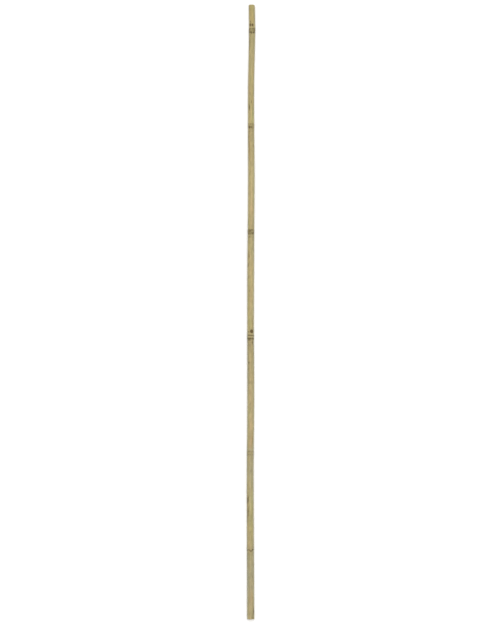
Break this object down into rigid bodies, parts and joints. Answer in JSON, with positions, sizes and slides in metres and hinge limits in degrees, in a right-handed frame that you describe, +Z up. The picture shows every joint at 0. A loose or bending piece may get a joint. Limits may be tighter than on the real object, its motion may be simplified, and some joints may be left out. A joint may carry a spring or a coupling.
{
  "type": "bamboo cane",
  "caption": "Long slender bamboo garden cane lying flat: slightly crooked tapering stem with ringed joints, trimmed branch scars and hollow sawn ends.",
  "frame": {"origin": "under the middle of the lying cane, on the surface it lies on", "axes": "+Y along the cane from its thick butt end to its thin tip, +Z up"},
  "size_m": [0.0248, 1.8, 0.0217],
  "materials": {
    "bamboo": "dried tan bamboo skin, satin, with brown rings at the joints"
  },
  "bodies": {
    "root": {"bamboo_cane": "bamboo"}
  },
  "joints": []
}
